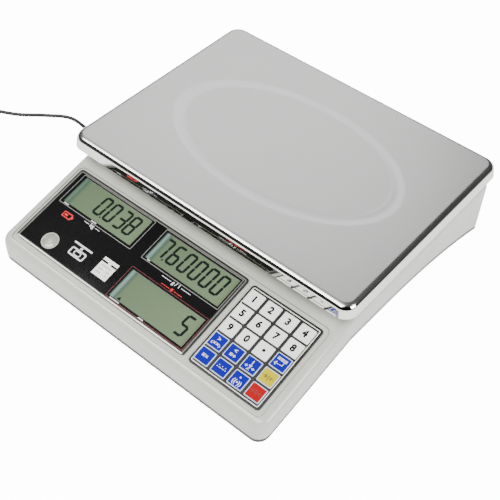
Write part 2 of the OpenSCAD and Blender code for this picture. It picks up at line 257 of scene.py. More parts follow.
def makeFinish(name, colour, roughness=0.45, scale=900, spread=0.12, vary=0.04, bump=0.15,
               metal=0.0, coat=0.0, specular=0.5):
    # one finish: a colour that drifts a little, uneven gloss and a fine grain
    material, tree, shader, grain = startMaterial(name, scale, roughness, spread)
    shader.inputs["Metallic"].default_value = metal
    shader.inputs["Coat Weight"].default_value = coat
    shader.inputs["Coat Roughness"].default_value = 0.05
    shader.inputs["Specular IOR Level"].default_value = specular
    colours = addTone(tree, grain.outputs["Tone"], shade(colour, 1 - vary), shade(colour, 1 + vary))
    tree.links.new(colours, shader.inputs["Base Color"])
    addBump(tree, grain.outputs["Height"], shader, bump, 0.0002)
    return material


finishes = {
    "housing": makeFinish("housingPlastic", rgb(197, 198, 191), 0.2, 1400, 0.08, 0.02, 0.08, specular=0.65),
    "tray": makeFinish("trayPlastic", rgb(188, 189, 184), 0.55, 1200, 0.1, 0.03, 0.25),
    # dark grey for the painted shade strip along the housing's lower rim
    "paintedEdgeStrip": makeFinish("housingRimShade", rgb(44, 46, 48), 0.5, 1200, 0.1, 0.08, 0.2),
    # grey for the painted shade line round the panel recess
    "recessShade": makeFinish("recessShadeFinish", rgb(134, 134, 128), 0.5, 1200, 0.1, 0.08, 0.1),
    "bezel": makeFinish("bezelPlastic", rgb(26, 26, 24), 0.35, 1200, 0.12, 0.15, 0.1),
    "lens": makeFinish("lensPrint", rgb(17, 17, 18), 0.12, 400, 0.05, 0.2, 0.02, coat=0.6, specular=0.3),
    "line": makeFinish("lensLine", rgb(128, 128, 124), 0.3, 600, 0.1, 0.1, 0.05),
    # white for the keypad's printed line and for the painted highlight on the bezel's front edge
    "whiteLineAndGlint": makeFinish("printedLineAndEdgeGlint", rgb(250, 249, 238), 0.3, 600, 0.1, 0.05, 0.05),
    "redLine": makeFinish("countLine", rgb(92, 18, 24), 0.3, 600, 0.1, 0.1, 0.05),
    "whitePrint": makeFinish("whitePrint", rgb(226, 226, 230), 0.4, 600, 0.1, 0.05, 0.05),
    "redPrint": makeFinish("redPrint", rgb(215, 30, 34), 0.4, 600, 0.1, 0.08, 0.05),
    "blackPrint": makeFinish("blackPrint", rgb(6, 6, 7), 0.6, 600, 0.1, 0.1, 0.05, specular=0.1),
    "greyPrint": makeFinish("greyPrint", rgb(170, 170, 172), 0.5, 600, 0.1, 0.1, 0.05),
    "card": makeFinish("cardLabel", rgb(254, 254, 252), 0.6, 1500, 0.1, 0.03, 0.2),
    "segment": makeFinish("liquidCrystal", rgb(8, 18, 15), 0.4, 700, 0.1, 0.1, 0.05, specular=0.1),
    "keyFrame": makeFinish("keypadFilm", rgb(12, 12, 11), 0.38, 1500, 0.12, 0.2, 0.2),
    "keyWhite": makeFinish("keyWhite", rgb(254, 254, 252), 0.6, 1500, 0.08, 0.02, 0.15, specular=0.12),
    "keyBlue": makeFinish("keyBlue", rgb(6, 12, 146), 0.6, 1500, 0.08, 0.05, 0.15, specular=0.12),
    "keyYellow": makeFinish("keyYellow", rgb(196, 180, 0), 0.6, 1500, 0.08, 0.04, 0.15, specular=0.12),
    "keyRed": makeFinish("keyRed", rgb(166, 0, 5), 0.6, 1500, 0.08, 0.04, 0.15, specular=0.12),
    "keyEdge": makeFinish("keyOutline", rgb(196, 204, 232), 0.42, 1500, 0.08, 0.04, 0.15),
    "yellowPrint": makeFinish("yellowKeyPrint", rgb(88, 78, 10), 0.4, 600, 0.1, 0.1, 0.05),
    "redKeyPrint": makeFinish("redKeyPrint", rgb(120, 30, 20), 0.4, 600, 0.1, 0.1, 0.05),
    "level": makeFinish("levelSilver", rgb(176, 176, 171), 0.35, 500, 0.2, 0.12, 0.1, metal=0.4),
    "fluid": makeFinish("levelFluid", rgb(160, 162, 152), 0.12, 260, 0.1, 0.3, 0.05, coat=1.0),
    "steelPart": makeFinish("zincSteel", rgb(170, 171, 174), 0.38, 700, 0.2, 0.08, 0.2, metal=1.0),
    "plateSteel": makeFinish("paintedSteel", rgb(150, 152, 155), 0.5, 800, 0.15, 0.06, 0.25),
    "alloy": makeFinish("castAlloy", rgb(190, 191, 193), 0.42, 900, 0.2, 0.06, 0.3, metal=1.0),
    "board": makeFinish("circuitBoard", rgb(18, 84, 44), 0.4, 500, 0.1, 0.12, 0.1),
    "mat": makeFinish("keypadRubber", rgb(96, 96, 100), 0.7, 1200, 0.1, 0.08, 0.3),
    "rubber": makeFinish("footRubber", rgb(34, 34, 36), 0.72, 1300, 0.12, 0.12, 0.4),
    "pvc": makeFinish("leadSheath", rgb(22, 22, 22), 0.5, 1600, 0.12, 0.12, 0.15),
    "plug": makeFinish("plugMoulding", rgb(26, 26, 27), 0.55, 1400, 0.12, 0.12, 0.3),
    "caseBlack": makeFinish("caseBlack", rgb(30, 30, 32), 0.5, 1500, 0.12, 0.1, 0.35),
    "switch": makeFinish("switchBlack", rgb(24, 24, 26), 0.35, 1200, 0.12, 0.1, 0.15),
    "nickel": makeFinish("nickelPins", rgb(205, 203, 198), 0.18, 900, 0.1, 0.04, 0.05, metal=1.0),
}
print("finishes made:", len(finishes))


# the sloping panel, and shaping helpers that take millimetres

panel = {
    "tilt": 14,
    "front": -159,
    "height": 50,
    "recess": (-148, -5.5, 147.5, 91),
    "recessCorner": 6,
    "recessDepth": 0.8,
    "windows": {"weight": (-92, 67.5), "unit": (12.5, 67), "count": (12.5, 20.5)},
    "levelAt": (-112.5, 13),
}
panelPlace = (Matrix.Translation((0, panel["front"] * mm, panel["height"] * mm))
              @ Matrix.Rotation(math.radians(panel["tilt"]), 4, "X"))
tiny = 0.01


def chooseOnly(piece):
    dropSelection()
    piece.select_set(True)
    bpy.context.view_layer.objects.active = piece


def addBlock(name, low, high):
    dropSelection()
    centre = [(a + b) / 2 * mm for a, b in zip(low, high)]
    size = [(b - a) * mm for a, b in zip(low, high)]
    bpy.ops.mesh.primitive_cube_add(size=1, location=centre, scale=size)
    piece = bpy.context.object
    piece.name = name
    bpy.ops.object.transform_apply(location=True, rotation=True, scale=True)
    return piece


def startPick(piece, kind):
    chooseOnly(piece)
    bpy.ops.object.mode_set(mode="EDIT")
    bpy.ops.mesh.select_mode(type=kind)
    bpy.ops.mesh.select_all(action="DESELECT")
    return bmesh.from_edit_mesh(piece.data)


def pickEdges(piece, wanted):
    # wanted is asked about both ends, in mm, and the edge's faces
    shape = startPick(piece, "EDGE")
    for edge in shape.edges:
        a, b = (v.co / mm for v in edge.verts)
        edge.select_set(bool(wanted(a, b, edge.link_faces)))
    bmesh.update_edit_mesh(piece.data)


def pickFaces(piece, wanted):
    # wanted is asked about the face's middle, in mm, and its normal
    shape = startPick(piece, "FACE")
    for face in shape.faces:
        face.select_set(bool(wanted(face.calc_center_median() / mm, face.normal)))
    bmesh.update_edit_mesh(piece.data)


def pickAll(piece):
    chooseOnly(piece)
    bpy.ops.object.mode_set(mode="EDIT")
    bpy.ops.mesh.select_all(action="SELECT")


def endEdit():
    bpy.ops.object.mode_set(mode="OBJECT")


def bevelPicked(width, segments):
    bpy.ops.mesh.bevel(offset=width * mm, segments=segments, affect="EDGES", clamp_overlap=False)
    endEdit()


def upright(a, b, faces):
    return abs(a.x - b.x) < tiny and abs(a.y - b.y) < tiny


def rimOfTop(a, b, faces):
    heights = [f.normal.z for f in faces]
    return len(faces) == 2 and max(heights) > 0.8 and min(heights) < 0.5


def addPlate(name, low, high, corner, soften=0.3, segments=5):
    piece = addBlock(name, low, high)
    if corner:
        pickEdges(piece, upright)
        bevelPicked(corner, segments)
    if soften:
        pickEdges(piece, rimOfTop)
        bevelPicked(soften, 2)
    return piece


def cutPlane(piece, point, normal):
    # the side that the normal points to goes, and the cut is closed
    pickAll(piece)
    bpy.ops.mesh.bisect(plane_co=Vector(point) * mm, plane_no=Vector(normal).normalized(),
                        use_fill=True, clear_outer=True)
    endEdit()


def joinPieces(pieces, name):
    dropSelection()
    for piece in pieces:
        piece.select_set(True)
    bpy.context.view_layer.objects.active = pieces[0]
    if len(pieces) > 1:
        bpy.ops.object.join()
    pieces[0].name = name
    return pieces[0]


def useModifier(piece, kind, **settings):
    chooseOnly(piece)
    modifier = piece.modifiers.new(kind.lower(), kind)
    for key, value in settings.items():
        setattr(modifier, key, value)
    bpy.ops.object.modifier_apply(modifier=modifier.name)


def cutAway(piece, cutters):
    for cutter in cutters:
        useModifier(piece, "BOOLEAN", object=cutter, operation="DIFFERENCE", solver="EXACT")
        bpy.data.objects.remove(cutter)


def smoothPiece(piece, angle=35):
    chooseOnly(piece)
    bpy.ops.object.shade_smooth_by_angle(angle=math.radians(angle))
    useModifier(piece, "WEIGHTED_NORMAL", keep_sharp=True)


def movePiece(piece, place):
    piece.data.transform(place)
    piece.data.update()


def copyPiece(piece, name, place=None):
    other = piece.copy()
    other.data = piece.data.copy()
    other.name = name
    bpy.context.collection.objects.link(other)
    if place:
        movePiece(other, place)
    return other


def dress(piece, finish):
    piece.data.materials.clear()
    piece.data.materials.append(finishes[finish])


def finishPiece(piece, body, finish, replaced=()):
    if finish:
        dress(piece, finish)
    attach(piece, body)
    if replaced:
        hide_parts(*replaced)


def layOnPanel(piece, finish, replaced=()):
    movePiece(piece, panelPlace)
    finishPiece(piece, "base", finish, replaced)


def shift(x, y, z):
    return Matrix.Translation((x * mm, y * mm, z * mm))


# housing: a wedge-topped shell, rounded, with its lower rim cut to a long curve

housing = {
    "wall": 2.8,
    "deck": 78,
    "bottom": 5,
    "frontRadius": 11,
    "backRadius": 7,
    "topRadius": 6.5,
    "backLean": 2,
    "leanHeight": 61,
    "rim": [(-190, 19), (-51.5, 47.5), (-11.5, 46), (10, 45)],
    "paintedEdgeStrip": 4.6,
    "shadeStripInset": 0.3,
    "stopHoles": [(-112, -11.5), (112, -11.5), (-112, 108.5), (112, 108.5)],
    "deckHole": (25, 26.5, 73, 70.5),
    "collarWall": 3,
    "collarTop": 82,
    "windowHole": (92, 37.6),
    "keypadHole": (68.6, 1.4, 141, 84.4),
    "levelHole": 8.8,
}


def rimHeight(y):
    return 45 - 0.05 * (y - 10) - 0.00096 * (y - 10) ** 2


def makeRimCutter(raised=0.0):
    # everything under the rim's long curve
    cutter = addBlock("rimCutter", (-170, -190, -20), (170, 190, 60))
    rim = housing["rim"] + [(y, rimHeight(y)) for y in range(30, 191, 20)]
    for (y0, z0), (y1, z1) in zip(rim, rim[1:]):
        cutPlane(cutter, (0, y0, z0 + raised), (0, z0 - z1, y1 - y0))
    return cutter


def addRound(name, x, y, low, high, radius, vertices=48):
    dropSelection()
    bpy.ops.mesh.primitive_cylinder_add(vertices=vertices, radius=radius * mm, depth=(high - low) * mm,
                                        location=(x * mm, y * mm, (low + high) / 2 * mm))
    piece = bpy.context.object
    piece.name = name
    bpy.ops.object.transform_apply(location=True, rotation=True, scale=True)
    return piece


def makePanelCutters():
    x0, l0, x1, l1 = panel["recess"]
    cutters = [addPlate("recessCutter", (x0, l0, -panel["recessDepth"]), (x1, l1, 6),
                        panel["recessCorner"], 0)]
    wide, long = housing["windowHole"]
    cutters += [addBlock("windowHole", (x - wide / 2, l - long / 2, -8), (x + wide / 2, l + long / 2, 2))
                for x, l in panel["windows"].values()]
    x0, l0, x1, l1 = housing["keypadHole"]
    cutters.append(addBlock("keypadHole", (x0, l0, -8), (x1, l1, 2)))
    x, l = panel["levelAt"]
    cutters.append(addRound("levelHole", x, l, -8, 2, housing["levelHole"]))
    for piece in cutters:
        movePiece(piece, panelPlace)
    return cutters


def makeDeckCutters():
    x0, y0, x1, y1 = housing["deckHole"]
    cutters = [addBlock("deckHole", (x0, y0, 70), (x1, y1, 90))]
    cutters += [addRound("stopHole", x, y, 70, 90, 8) for x, y in housing["stopHoles"]]
    return cutters


def makeShell():
    low, high = (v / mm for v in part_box("upper_housing"))
    shell = addBlock("housingShell", (low.x, low.y, housing["bottom"]), (high.x, high.y, housing["deck"]))
    tilt = math.radians(panel["tilt"])
    cutPlane(shell, (0, panel["front"], panel["height"]), (0, -math.sin(tilt), math.cos(tilt)))
    cutPlane(shell, (0, high.y - housing["backLean"], housing["deck"]),
             (0, housing["leanHeight"], housing["backLean"]))
    for end, radius in ((-1, housing["frontRadius"]), (1, housing["backRadius"])):
        pickEdges(shell, lambda a, b, faces: abs(a.x) > 150 and abs(a.x - b.x) < tiny
                  and abs(a.z - b.z) > 20 and abs(a.y - b.y) < 20 and a.y * end > 0)
        bevelPicked(radius, 8)
    pickEdges(shell, rimOfTop)
    bevelPicked(housing["topRadius"], 6)
    pickFaces(shell, lambda middle, normal: normal.z < -0.9)
    bpy.ops.mesh.delete(type="FACE")
    endEdit()
    useModifier(shell, "SOLIDIFY", thickness=housing["wall"] * mm, offset=-1)
    return shell


def buildHousing():
    shell = makeShell()
    cutAway(shell, [makeRimCutter()])
    # the shell's lowest band becomes a dark strip: painted shade of the gap under the rim, together with the
    # tray's dark edge
    paintedEdgeStrip = copyPiece(shell, "housingRimShade")
    cutAway(shell, [makeRimCutter(housing["paintedEdgeStrip"])] + makePanelCutters() + makeDeckCutters())
    x0, y0, x1, y1 = housing["deckHole"]
    wall = housing["collarWall"]
    collar = addBlock("deckCollar", (x0 - wall, y0 - wall, housing["deck"] - 0.5),
                      (x1 + wall, y1 + wall, housing["collarTop"]))
    pickEdges(collar, upright)
    bevelPicked(2, 3)
    cutAway(collar, [addBlock("deckHole", (x0, y0, 70), (x1, y1, 90))])
    shell = joinPieces([shell, collar], "housingShell")
    smoothPiece(shell)
    finishPiece(shell, "base", "housing", ["upper_housing"])
    keeper = makeRimCutter(housing["paintedEdgeStrip"])
    useModifier(paintedEdgeStrip, "BOOLEAN", object=keeper, operation="INTERSECT", solver="EXACT")
    bpy.data.objects.remove(keeper)
    pickAll(paintedEdgeStrip)
    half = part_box("upper_housing")[1] / mm
    bpy.ops.transform.resize(value=(1 - housing["shadeStripInset"] / half.x, 1 - housing["shadeStripInset"] / half.y, 1),
                             center_override=(0, 0, 0))
    endEdit()
    smoothPiece(paintedEdgeStrip)
    finishPiece(paintedEdgeStrip, "base", "paintedEdgeStrip")


buildHousing()
print("housing built")


# platter: rolled edge, polished skirt, satin top and a shallow oval bead

platter = {
    "corner": 13,
    "cornerSteps": 12,
    "roll": 5.5,
    "rollSteps": 9,
    "lean": 1.8,
    "sheet": 1.2,
    "beadOuter": (123, 77.5),
    "beadInner": (111, 61.5),
    "beadDepth": 0.2,
    "beadSteep": 0.5,
    "steps": 12,
    "polishedTo": 103.0,
    "satinFrom": 104.7,
    "polishedRoughness": 0.05,
    "satinRoughness": 0.34,
    "darkSteel": rgb(184, 183, 182),
    "paleSteel": rgb(192, 191, 190),
    "polishedSteel": rgb(232, 232, 228),
    # painted sheen: a lighter colour and its edges along the oval bead
    "beadSheenSteel": rgb(200, 199, 199),
    "beadSheenEdges": (0.045, 0.075),
}


def mixColour(tree, factor, first, second, start, end):
    # the first colour up to the start of the factor's range, the second one from its end
    mix = tree.nodes.new("ShaderNodeMix")
    mix.data_type = "RGBA"
    tree.links.new(addRange(tree, factor, start, end, kind="SMOOTHSTEP"), mix.inputs["Factor"])
    mix.inputs[6].default_value = first
    tree.links.new(second, mix.inputs[7])
    return mix.outputs[2]


def ovalDistance(tree, split):
    # how far a spot lies from the middle line of the oval bead, as a share of its radius
    low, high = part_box("platter")
    wide, long = ((a + b) / 2 * mm for a, b in zip(platter["beadOuter"], platter["beadInner"]))
    x = addMath(tree, "DIVIDE", split["X"], wide)
    y = addMath(tree, "SUBTRACT", split["Y"], (low.y + high.y) / 2)
    y = addMath(tree, "DIVIDE", y, long)
    square = addMath(tree, "ADD", addMath(tree, "MULTIPLY", x, x), addMath(tree, "MULTIPLY", y, y))
    return addMath(tree, "ABSOLUTE", addMath(tree, "SUBTRACT", addMath(tree, "SQRT", square, 0), 1), 0)


def makePlatterSteel():
    # satin on the flat top, polished round the rolled edge, with a faint grain across, and a painted lighter
    # sheen along the oval bead
    material, tree, shader, grain = startMaterial("stainlessSheet", 500, 0.3, 0.06)
    shader.inputs["Metallic"].default_value = 1.0
    place = tree.nodes.new("ShaderNodeTexCoord").outputs["Object"]
    stretch = tree.nodes.new("ShaderNodeMapping")
    stretch.inputs["Scale"].default_value = (12, 900, 12)
    tree.links.new(place, stretch.inputs["Vector"])
    brushed = addNoise(tree, stretch.outputs["Vector"], 1.0, 2)
    split = splitPlace(tree, place)
    flat = addRange(tree, split["Z"], platter["polishedTo"] * mm, platter["satinFrom"] * mm,
                    platter["polishedRoughness"], platter["satinRoughness"])
    uneven = addMath(tree, "SUBTRACT", grain.outputs["Roughness"], 0.3)  # the grain's own middle value
    tree.links.new(addMath(tree, "ADD", flat, uneven), shader.inputs["Roughness"])
    colours = addTone(tree, grain.outputs["Tone"], platter["darkSteel"], platter["paleSteel"])
    polish = mixColour(tree, flat, platter["polishedSteel"], colours,
                       platter["polishedRoughness"], platter["satinRoughness"])
    # a lighter colour along the oval bead: painted sheen where the bead catches the light
    start, end = platter["beadSheenEdges"]
    beadSheen = mixColour(tree, ovalDistance(tree, split), platter["beadSheenSteel"], polish, start, end)
    tree.links.new(beadSheen, shader.inputs["Base Color"])
    addBump(tree, brushed, shader, 0.04, 0.0001)
    return material


def buildPlatter():
    low, high = (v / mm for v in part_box("platter"))
    centre = (low + high) / 2
    pan = addBlock("platterPan", low, high)
    pickFaces(pan, lambda middle, normal: normal.z > 0.9)
    half = high - centre
    bpy.ops.transform.resize(value=(1 - platter["lean"] / half.x, 1 - platter["lean"] / half.y, 1),
                             center_override=centre * mm)
    endEdit()
    pickEdges(pan, lambda a, b, faces: abs(a.z - b.z) > 5)
    bevelPicked(platter["corner"], platter["cornerSteps"])
    pickEdges(pan, rimOfTop)
    bevelPicked(platter["roll"], platter["rollSteps"])
    pickFaces(pan, lambda middle, normal: normal.z < -0.9)
    bpy.ops.mesh.delete(type="FACE")
    pickFaces(pan, lambda middle, normal: normal.z > 0.999)
    bpy.ops.mesh.delete(type="FACE")
    endEdit()
    oval = addOval("platterOval", (centre.x, centre.y, high.z))
    pan = joinPieces([pan, oval], "platterPan")
    pickEdges(pan, lambda a, b, faces: len(faces) == 1 and a.z > high.z - tiny and b.z > high.z - tiny)
    bpy.ops.mesh.bridge_edge_loops()
    bpy.ops.mesh.select_all(action="SELECT")
    bpy.ops.mesh.normals_make_consistent(inside=False)
    endEdit()
    useModifier(pan, "SOLIDIFY", thickness=platter["sheet"] * mm, offset=-1)
    smoothPiece(pan, 30)
    finishPiece(pan, "platter_body", "platter", ["platter"])


def addOval(name, place):
    # rings from the bead's outer edge to its inner edge, then the flat middle
    outer, inner = platter["beadOuter"], platter["beadInner"]
    dropSelection()
    bpy.ops.mesh.primitive_circle_add(vertices=128, radius=mm, fill_type="NOTHING",
                                      location=[v * mm for v in place])
    ring = bpy.context.object
    ring.name = name
    bpy.ops.object.transform_apply(location=True, rotation=True, scale=True)
    pickAll(ring)
    now = [1.0, 1.0]
    middle = Vector(place) * mm
    for step in range(-1, platter["steps"] + 2):
        way = step / platter["steps"]
        size = [o + (i - o) * way for o, i in zip(outer, inner)]
        turn = platter["beadSteep"]
        slide = min(max(way, 0), turn) / turn if way < turn else (1 - min(way, 1)) / (1 - turn)
        sink = platter["beadDepth"] * (1 - math.cos(math.pi * slide)) / 2
        if step >= 0:
            bpy.ops.mesh.extrude_edges_move()
        bpy.ops.transform.resize(value=(size[0] / now[0], size[1] / now[1], 1), center_override=middle)
        if step >= 0:
            bpy.ops.transform.translate(value=(0, 0, (lastSink - sink) * mm))
        now, lastSink = size, sink
    bpy.ops.mesh.edge_face_add()
    endEdit()
    return ring


finishes["platter"] = makePlatterSteel()
buildPlatter()
print("platter built")


# display: a raised black frame, a printed lens with three windows, digits under it

display = {
    "outer": (-144.3, -0.6, 61.5, 88),
    "opening": (-140.6, 2, 58.4, 85.2),
    "raised": 1.4,
    "lensTop": 0.6,
    "windowSize": (86, 31),
    "frames": {"weight": (-137.6, 49, -45.6, 84.8), "unit": (-32.4, 49, 57.6, 84.8),
               "count": (-32.2, 2.4, 57.8, 38.4)},
    "levelRadius": 8.6,
}


def addBorder(name, area, width, bottom, top, corner, soften=0.0):
    # a flat rectangular ring, given its outer left, front, right and back
    x0, l0, x1, l1 = area
    ring = addPlate(name, (x0, l0, bottom), (x1, l1, top), corner, soften)
    hole = addPlate("hole", (x0 + width, l0 + width, bottom - 1), (x1 - width, l1 - width, top + 1),
                    max(corner - width, 0.3), 0)
    cutAway(ring, [hole])
    return ring


def buildBezel():
    x0, l0, x1, l1 = display["outer"]
    a0, b0, a1, b1 = display["opening"]
    ring = addPlate("displayBezel", (x0, l0, -0.8), (x1, l1, display["raised"]), 3, 0.5)
    cutAway(ring, [addPlate("hole", (a0, b0, -2), (a1, b1, 3), 0.8, 0)])
    layOnPanel(ring, "bezel", ["display_bezel"])
    edge = addBorder("bezelEdge", (x0 + 2, l0 + 0.6, x1 - 1.2, l1 - 2.2), 0.75,
                     display["raised"] - 0.05, display["raised"] + 0.04, 2)
    layOnPanel(edge, "line")
    # a white strip along the bezel's front edge: painted highlight where the edge catches the light
    paintedEdgeStrip = addPlate("bezelFrontGlint", (x0 + 2.2, l0 + 0.3, display["raised"] - 0.1),
                   (x1 - 1.4, l0 + 1.7, display["raised"] + 0.1), 0.2, 0.08)
    layOnPanel(paintedEdgeStrip, "whiteLineAndGlint")
    # a grey line round the recess border: painted shade where the recess step meets the panel
    floor = -panel["recessDepth"]
    recessShade = addBorder("recessShadeLine", panel["recess"], 0.7, floor - 0.1, floor + 0.04, panel["recessCorner"])
    layOnPanel(recessShade, "recessShade")


def buildLens():
    a0, b0, a1, b1 = display["opening"]
    top = display["lensTop"]
    sheet = addPlate("displayLens", (a0 + 0.1, b0 + 0.1, -0.8), (a1 - 0.1, b1 - 0.1, top), 0.7, 0.15)
    wide, long = display["windowSize"]
    holes = [addBlock("window", (x - wide / 2, l - long / 2, -2), (x + wide / 2, l + long / 2, 2))
             for x, l in panel["windows"].values()]
    x, l = panel["levelAt"]
    cutAway(sheet, holes + [addRound("levelHole", x, l, -3, 3, 7.9, 64)])
    movePiece(sheet, panelPlace)
    smoothPiece(sheet, 20)
    finishPiece(sheet, "base", "lens", ["display_lens"])
    for label, area in display["frames"].items():
        line = addBorder(label + "Line", area, 0.65, top - 0.05, top + 0.05, 1)
        layOnPanel(line, "redLine" if label == "count" else "line")


def makeDisplayGlass(name, leftEdge, paintedGlint):
    # grey-green glass with a darker strip along its left edge, and a painted highlight streak within it
    material, tree, shader, grain = startMaterial(name, 300, 0.3, 0.05)
    split = splitPlace(tree, tree.nodes.new("ShaderNodeTexCoord").outputs["Object"])
    across = addRange(tree, split["X"], leftEdge * mm, (leftEdge + display["windowSize"][0]) * mm)
    ramp = tree.nodes.new("ShaderNodeValToRGB")
    stops = ramp.color_ramp.elements
    stops[0].color = rgb(64, 84, 73)
    stops[1].color = rgb(102, 120, 92)
    stops[1].position = 0.9
    for position, colour in ((0.018, paintedGlint), (0.03, paintedGlint), (0.06, rgb(66, 86, 74)),
                             (0.1, rgb(90, 108, 82))):
        stops.new(position).color = colour
    tree.links.new(across, ramp.inputs["Fac"])
    tree.links.new(ramp.outputs["Color"], shader.inputs["Base Color"])
    shader.inputs["Coat Weight"].default_value = 0.7
    shader.inputs["Coat Roughness"].default_value = 0.04
    shader.inputs["Specular IOR Level"].default_value = 0.2
    addBump(tree, grain.outputs["Height"], shader, 0.03, 0.0001)
    return material


buildBezel()
buildLens()
# each window's painted highlight streak colour
for node, leftEdge, paintedGlint in (("lcd_weight", -135, rgb(84, 106, 90)),
                               ("lcd_unit_weight", -30, rgb(114, 140, 130)),
                               ("lcd_quantity", -30, rgb(114, 140, 130))):
    finishes[node] = makeDisplayGlass(node + "Glass", leftEdge, paintedGlint)
    dress(nodes[node], node)


# digits: seven bars each, on the glass

digits = {
    "height": 21.8,
    "width": 9.8,
    "stroke": 2.35,
    "gap": 0.2,
    "slant": 0.09,
    "lift": -0.8,
    "thick": 0.06,
    "bars": {"0": "abcdef", "1": "bc", "2": "abged", "3": "abgcd", "4": "fgbc", "5": "afgcd",
             "6": "afgecd", "7": "abc", "8": "abcdefg", "9": "abcdfg"},
}


def makeBar(length):
    half = digits["stroke"] / 2
    bar = addBlock("bar", (-length / 2, -half, 0), (length / 2, half, digits["thick"]))
    pickEdges(bar, upright)
    bevelPicked(half * 0.8, 2)
    return bar


def makeDigit(mark):
    high, wide = digits["height"] / 2 - digits["stroke"] / 2, digits["width"] / 2 - digits["stroke"] / 2
    flatLength = 2 * wide - 2 * digits["gap"]
    tallLength = high - 2 * digits["gap"]
    turned = Matrix.Rotation(math.pi / 2, 4, "Z")
    spots = {"a": (0, high, 0), "g": (0, 0, 0), "d": (0, -high, 0),
             "f": (-wide, high / 2, 1), "b": (wide, high / 2, 1),
             "e": (-wide, -high / 2, 1), "c": (wide, -high / 2, 1)}
    bars = []
    for name in digits["bars"][mark]:
        x, l, isTall = spots[name]
        bar = makeBar(tallLength if isTall else flatLength)
        movePiece(bar, shift(x, l, 0) @ (turned if isTall else Matrix.Identity(4)))
        bars.append(bar)
    return joinPieces(bars, "digit")


def addReading(name, marks, points=()):
    # marks: digit and the middle of its place; points: decimal points
    made = []
    lean = Matrix.Identity(4)
    lean[0][1] = digits["slant"]
    for mark, x, l in marks:
        digit = makeDigit(mark)
        movePiece(digit, shift(x, l, digits["lift"]) @ lean)
        made.append(digit)
    for x, l in points:
        made.append(addPlate("point", (x - 0.8, l - 0.8, digits["lift"]),
                             (x + 0.8, l + 0.8, digits["lift"] + digits["thick"]), 0.5, 0))
    layOnPanel(joinPieces(made, name), "segment")


addReading("weightDigits", [("0", -98.8, 68.8), ("0", -86.4, 68.8), ("3", -73.6, 68.8), ("8", -62, 68.8)],
           [(-93.4, 58.4)])
addReading("unitDigits", [("7", -21.2, 68.8), ("6", -7.8, 68.8), ("0", 5.2, 68.8), ("0", 18, 68.8),
                          ("0", 30.7, 68.8), ("0", 43.4, 68.8)], [(-15.6, 58.4)])
addReading("countDigits", [("5", 44.2, 21.8)])
pointer = addRound("countPointer", -20, 7.5, digits["lift"], digits["lift"] + digits["thick"], 2.3, 3)
layOnPanel(pointer, "segment")
print("display built")


# prints: plain marks only, a hair proud of the surface they are on

def addText(name, words, size, place, height, bold=0.0):
    dropSelection()
    bpy.ops.object.text_add(location=(0, 0, 0))
    text = bpy.context.object
    text.name = name
    text.data.body = words
    text.data.size = size * mm
    text.data.align_x = "CENTER"
    text.data.align_y = "CENTER"
    text.data.offset = bold * mm
    text.data.extrude = 0.03 * mm
    text.data.resolution_u = 4
    bpy.ops.object.convert(target="MESH")
    text = bpy.context.object
    movePiece(text, shift(place[0], place[1], height))
    return text


def addMark(name, words, size, place, finish, bold=0.0):
    mark = addText(name, words, size, place, display["lensTop"] + 0.03, bold)
    layOnPanel(mark, finish)


def addBar(low, high, top, corner=0.2):
    return addPlate("bar", (low[0], low[1], top - 0.08), (high[0], high[1], top), corner, 0)


def buildPrints():
    top = display["lensTop"] + 0.05
    addMark("weightUnit", "— kg —", 5.4, (-91.6, 47), "whitePrint", 0.12)
    addMark("pieceUnit", "—— g / 1 ——", 5.2, (12.6, 46.6), "whitePrint", 0.12)
    addMark("countSign", "—— # ——", 4.6, (12.6, 40.6), "redPrint", 0.12)
    battery = joinPieces([addBorder("cell", (-124.4, 38.8, -113.6, 45), 1.1, top - 0.08, top, 0.8),
                          addBar((-113.6, 40.6), (-112, 43.2), top),
                          addBar((-122.4, 40.8), (-118.4, 43), top)], "batterySign")
    layOnPanel(battery, "redPrint")
    dashes = joinPieces([addBar((x - w / 2, l - 0.5), (x + w / 2, l + 0.5), top)
                         for x, l, w in ((-129, 50.9, 6), (-93.5, 50.9, 6.5), (-24.4, 50.9, 3.4),
                                         (-22, 3.6, 11), (9.5, 3.6, 6))], "windowMarks")
    layOnPanel(dashes, "whitePrint")
    scaleSign = joinPieces([addBar((-93, 25.4), (-71, 27.2), top, 0.6),
                            addBar((-83.4, 22.6), (-80.6, 24.8), top),
                            addBorder("body", (-91, 13.4, -73, 22), 1.5, top - 0.08, top, 2),
                            addBorder("dial", (-86.2, 15, -77.8, 20.4), 1.1, top - 0.08, top, 2.4)],
                           "scaleSign")
    layOnPanel(scaleSign, "whitePrint")


def buildCard():
    top = display["lensTop"]
    card = addPlate("dataCard", (-58.6, 11.6, top - 0.1), (-41.4, 31.2, top + 0.12), 0.3, 0.05)
    rows = [addBar((-58.5, 26), (-51.6, 27.9), top + 0.16), addBar((-48, 26), (-41.5, 27.9), top + 0.16)]
    stripe = joinPieces(rows, "cardStripe")
    lines = joinPieces([addBar((x0, l - 0.55), (x1, l + 0.55), top + 0.15)
                        for x0, x1, l in ((-56.5, -44, 23.2), (-56.5, -51.5, 19.2), (-47.5, -43.5, 19.2),
                                          (-56.5, -51.5, 15.6), (-46.5, -43.5, 15.6))], "cardLines")
    for piece, finish in ((card, "card"), (stripe, "blackPrint"), (lines, "greyPrint")):
        layOnPanel(piece, finish)


buildPrints()
buildCard()


# spirit level: silver cup, domed window and its bubble

